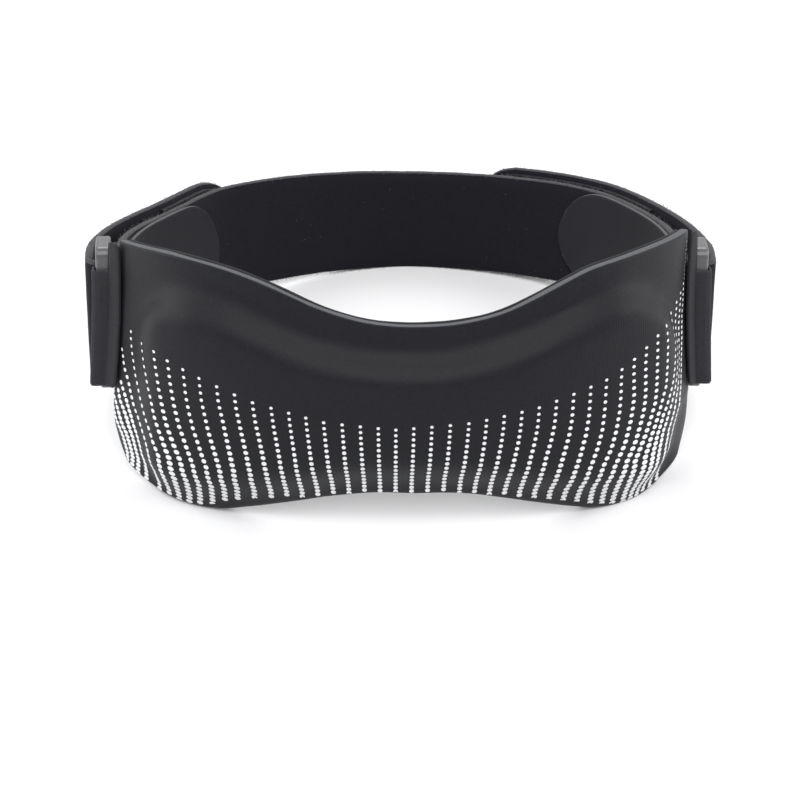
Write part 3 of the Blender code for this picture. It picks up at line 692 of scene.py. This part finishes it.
def grow_pile(source, name, length, radius, seed):
    """Fibres grown on a piece, as a piece of their own."""
    base = source.copy()
    bpy.context.scene.collection.objects.link(base)
    modifier = base.modifiers.new("pile", "NODES")
    modifier.node_group = pile_tree(name, fibre_finish.material)
    keys = {item.name: item.identifier for item in modifier.node_group.interface.items_tree}
    for socket, value in (("Length", length), ("Radius", radius), ("Seed", seed)):
        modifier[keys[socket]] = value
    return plain_mesh(base, name)


pile = grow_pile(band, "band_lint", PILE_LENGTH, PILE_RADIUS, PILE_SEED)
for vertex in pile.data.vertices:
    vertex.co.z = max(vertex.co.z, 0.0)
pile.data.update()
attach(pile, "root")

# Plastic loops and hook fastening.
# The loops are moulded in grey plastic with a fine spark-eroded texture; the hooks are black nylon.
LOOP_COLOUR = (0.085, 0.085, 0.090)
HOOK_COLOUR = (0.014, 0.014, 0.016)
loop_finish = Finish("loop_plastic", LOOP_COLOUR, roughness=0.33, shine=0.6)
loop_finish.shade(loop_finish.grain(1800.0, detail=4.0), low=0.82, high=1.12)
loop_finish.bump(loop_finish.grain(2600.0), 0.00003, strength=0.6)
hook_finish = Finish("hook_nylon", HOOK_COLOUR, roughness=0.5)
hook_finish.bump(hook_finish.grain(2200.0, detail=2.0), 0.00025)
for word in ("left", "right"):
    for node, finish in (("ring_" + word, loop_finish), ("hook_patch_" + word, hook_finish)):
        mesh = nodes[node].data
        mesh.materials.clear()
        mesh.materials.append(finish.material)

# Studio.
# A plain pale sweep under soft boxes: one large above and in front, one at each side and one behind.
FLOOR_COLOUR = (0.80, 0.80, 0.81)
FLOOR_REACH = 15.0
floor_mesh = bpy.data.meshes.new("floor")
floor_corners = [(x * FLOOR_REACH, y * FLOOR_REACH, 0) for x, y in ((-1, -1), (1, -1), (1, 1), (-1, 1))]
floor_mesh.from_pydata(floor_corners, [], [(0, 1, 2, 3)])
floor_finish = Finish("floor", FLOOR_COLOUR, roughness=0.9)
floor_mesh.materials.append(floor_finish.material)
floor = bpy.data.objects.new("floor", floor_mesh)
bpy.context.scene.collection.objects.link(floor)
LIGHT_AIM = Vector((0.0, 0.0, 0.03))
WORLD_COLOUR = (1.0, 1.0, 1.0, 1.0)
WORLD_STRENGTH = 0.5
# Soft boxes: place, size, power
SOFT_BOXES = (
    ((0.0, -0.55, 1.00), 0.9, 9.0),
    ((-0.90, 0.0, 0.45), 0.7, 6.0),
    ((0.90, 0.0, 0.45), 0.7, 6.0),
    ((0.0, 0.85, 0.75), 0.8, 7.0),
)
for place, size, power in SOFT_BOXES:
    light_data = bpy.data.lights.new("soft_box", "AREA")
    light_data.size = size
    light_data.energy = power
    light = bpy.data.objects.new("soft_box", light_data)
    light.location = place
    light.rotation_euler = (LIGHT_AIM - Vector(place)).to_track_quat("-Z", "Y").to_euler()
    bpy.context.scene.collection.objects.link(light)
world = bpy.data.worlds.new("studio")
world.use_nodes = True
world.node_tree.nodes["Background"].inputs["Color"].default_value = WORLD_COLOUR
world.node_tree.nodes["Background"].inputs["Strength"].default_value = WORLD_STRENGTH
bpy.context.scene.world = world
bpy.context.scene.view_settings.view_transform = "Standard"
